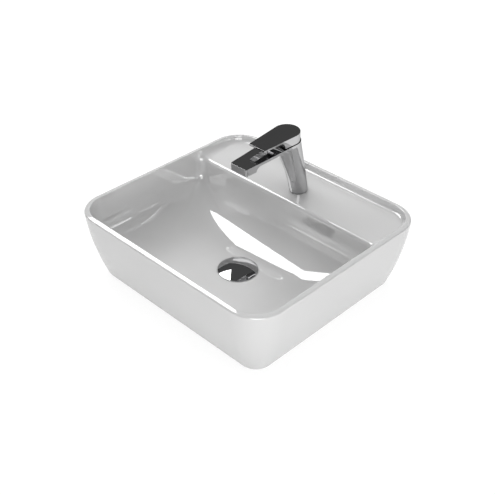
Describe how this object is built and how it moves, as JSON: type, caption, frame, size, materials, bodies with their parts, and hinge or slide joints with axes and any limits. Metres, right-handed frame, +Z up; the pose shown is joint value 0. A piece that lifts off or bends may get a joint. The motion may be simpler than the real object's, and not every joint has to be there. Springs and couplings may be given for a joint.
{
  "type": "countertop wash basin with mixer tap",
  "caption": "White glazed rectangular countertop basin with rounded corners, a sloping rear tap ledge, a chrome single-lever mixer tap with flat spout and a push-to-open chrome waste.",
  "frame": {"origin": "middle of the basin's foot, on the counter plane", "axes": "+X to the user's right, +Y to the back where the tap stands, +Z up"},
  "size_m": [0.4494, 0.4094, 0.3299],
  "materials": {
    "glaze": "glossy white glaze",
    "chrome": "polished chrome plate on brass",
    "brass": "turned brass",
    "steel": "zinc plated steel",
    "stainless": "bright spring wire",
    "rubber": "black rubber",
    "white_plastic": "moulded white plastic",
    "grey_plastic": "moulded grey plastic",
    "disc_ceramic": "lapped technical ceramic"
  },
  "bodies": {
    "basin": {"basin_body": "glaze", "waste_body": "chrome", "waste_flange_seal": "rubber", "click_housing": "grey_plastic", "click_guide_bush": "white_plastic", "click_spring": "stainless", "waste_lower_gasket": "rubber", "waste_slip_washer": "white_plastic", "waste_backnut": "brass", "tap_body": "chrome", "tap_base_gasket": "rubber", "fixing_stud": "steel", "fixing_rubber_washer": "rubber", "fixing_clamp_plate": "steel", "fixing_nut": "brass", "cartridge_housing": "white_plastic", "cartridge_base": "white_plastic", "cartridge_seals": "rubber", "cartridge_fixed_disc": "disc_ceramic", "cartridge_retaining_nut": "brass", "aerator_housing": "white_plastic", "aerator_grid": "grey_plastic", "aerator_seal": "rubber"},
    "swivel": {"cartridge_rotor": "white_plastic", "cartridge_pivot_pin": "steel"},
    "lever": {"tap_lever": "chrome", "lever_grub_screw": "steel", "lever_index_plug": "grey_plastic", "cartridge_spindle": "brass"},
    "disc": {"cartridge_moving_disc": "disc_ceramic", "cartridge_disc_carrier": "white_plastic"},
    "cap": {"waste_cap": "chrome", "waste_cap_seal": "rubber", "click_plunger": "brass"}
  },
  "joints": [
    {"name": "lever_swivel", "type": "hinge", "parent": "basin", "child": "swivel", "pos_m": [0, 0.09717, 0.23716], "axis": [0, -0.0454, 0.999], "range_deg": [-45, 45]},
    {"name": "lever_lift", "type": "hinge", "parent": "swivel", "child": "lever", "pos_m": [0, 0.09693, 0.24225], "axis": [-1, 0, 0], "range_deg": [0, 16]},
    {"name": "disc_slide", "type": "slide", "parent": "swivel", "child": "disc", "axis": [0, -0.999, -0.0454], "range_m": [0, 0.0038]},
    {"name": "cap_click", "type": "slide", "parent": "basin", "child": "cap", "axis": [0, 0, 1], "range_m": [0, 0.008], "deforming": ["click_spring"]}
  ],
  "couplings": [
    {"joint": "disc_slide", "follows": "lever_lift", "m_per_rad": 0.01323}
  ]
}
